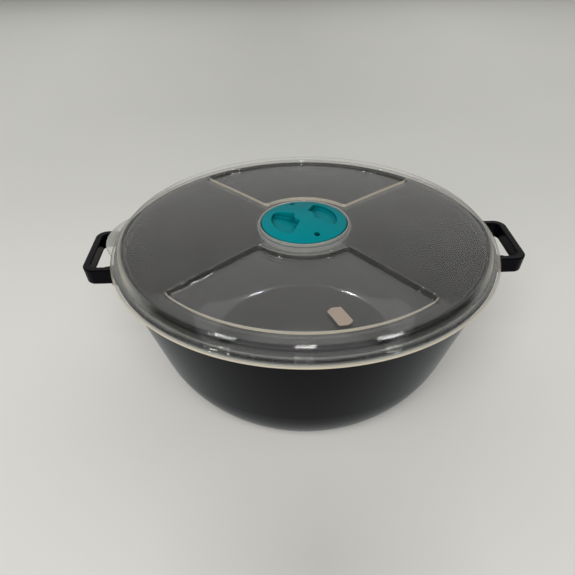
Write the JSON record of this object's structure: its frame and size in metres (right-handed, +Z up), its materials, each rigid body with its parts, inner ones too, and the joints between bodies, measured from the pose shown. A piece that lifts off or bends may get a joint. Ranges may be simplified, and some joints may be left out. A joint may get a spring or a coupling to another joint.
{
  "type": "lidded bowl with vent dial",
  "caption": "Round black bowl with strap handles under a translucent snap lid; a domed dial in the lid's middle twists to open or close its steam vents.",
  "frame": {"origin": "on the bowl's axis at the level of its foot, which is the middle of the bottom of the bounding box", "axes": "+X towards the right-hand handle, +Y towards the back, +Z up along the bowl's and the dial's axis"},
  "size_m": [0.318, 0.2798, 0.121],
  "materials": {
    "bowl_plastic": "satin",
    "handle_plastic": "semi-gloss",
    "lid_plastic": "frosted, with glossy clear panels",
    "dial_plastic": "satin",
    "seal_silicone": "matte",
    "label_paper": "matte paper"
  },
  "bodies": {
    "bowl": {"bowl": "bowl_plastic", "handle_left": "handle_plastic", "handle_right": "handle_plastic"},
    "lid": {"lid": "lid_plastic", "vent_seal": "seal_silicone", "blank_label": "label_paper"},
    "dial": {"vent_dial": "dial_plastic", "dial_retainer": "dial_plastic"}
  },
  "joints": [
    {"name": "lid_lift", "type": "slide", "parent": "bowl", "child": "lid", "axis": [0, 0, 1], "range_m": [0, 0.15]},
    {"name": "vent_turn", "type": "hinge", "parent": "lid", "child": "dial", "pos_m": [0, 0, 0.107], "axis": [0, 0, 1], "range_deg": [-23.3, 66.7]}
  ]
}
